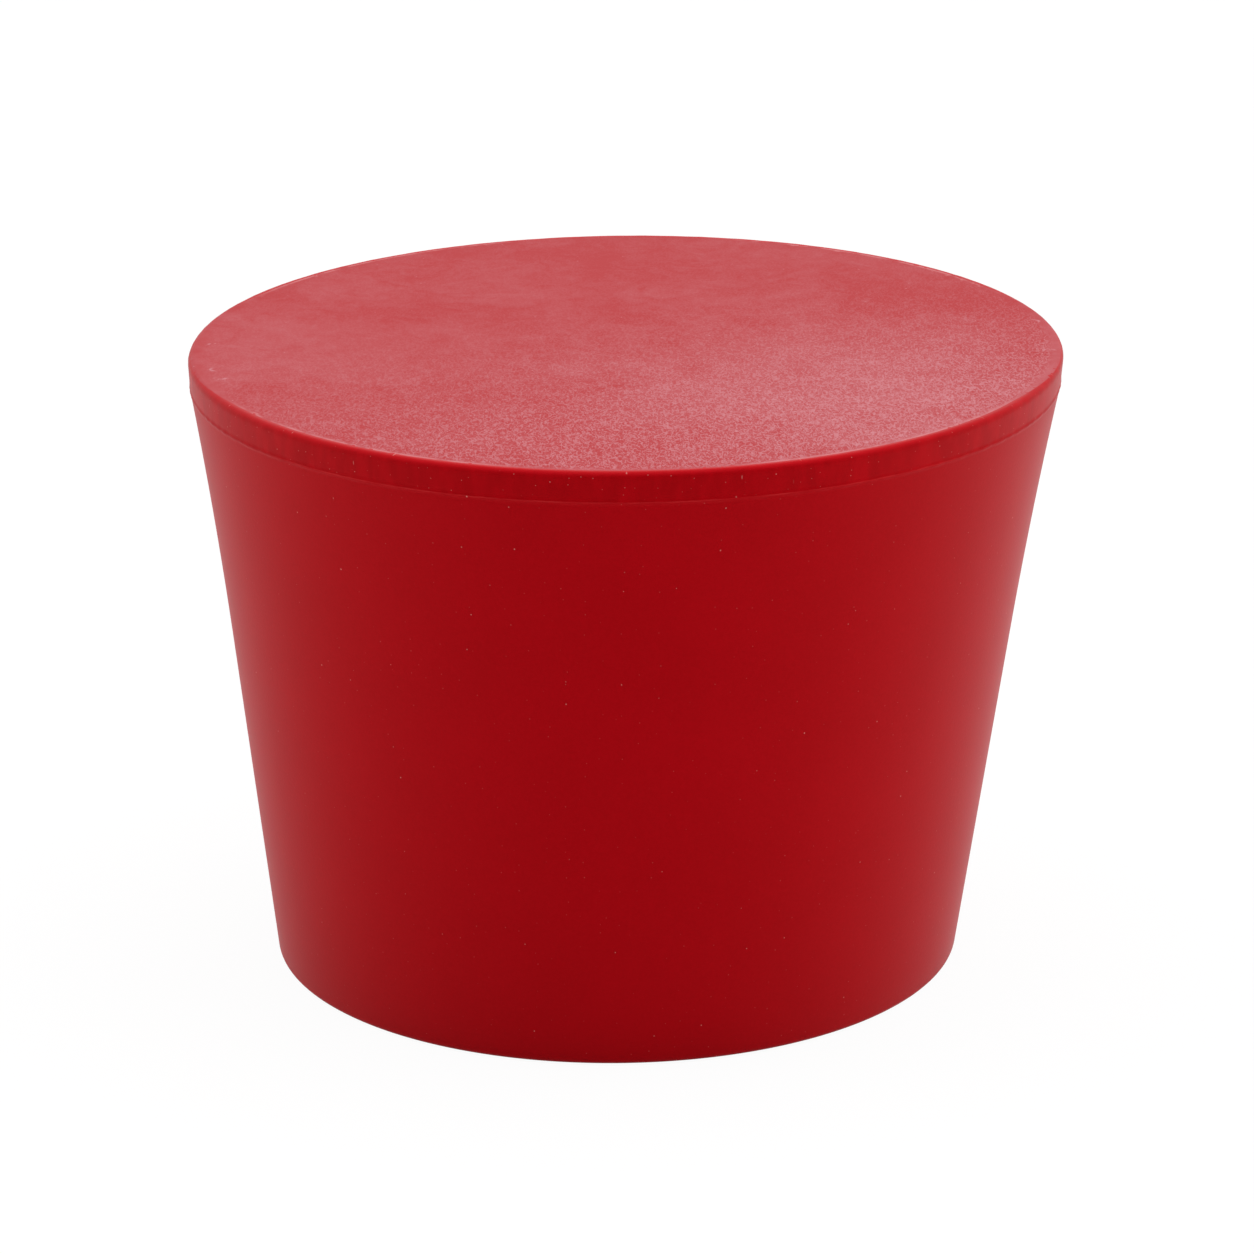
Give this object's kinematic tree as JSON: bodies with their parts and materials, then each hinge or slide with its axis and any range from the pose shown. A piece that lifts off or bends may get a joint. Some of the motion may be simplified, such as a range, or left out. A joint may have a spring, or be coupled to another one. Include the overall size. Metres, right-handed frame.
{
  "type": "rubber stopper",
  "caption": "Solid tapered stopper of moulded red rubber, with a flat matte large end, a low rim band above a parting line and a smooth wall that seals a glass neck.",
  "frame": {"origin": "centre of the small end's face, on which the stopper stands", "axes": "+Z along the stopper's own axis, from the small end up to the large end; X and Y are alike"},
  "size_m": [0.0414, 0.0414, 0.03],
  "materials": {
    "red_rubber": "satin moulded wall, matte dusty large end"
  },
  "bodies": {
    "root": {"stopper": "red_rubber"}
  },
  "joints": []
}
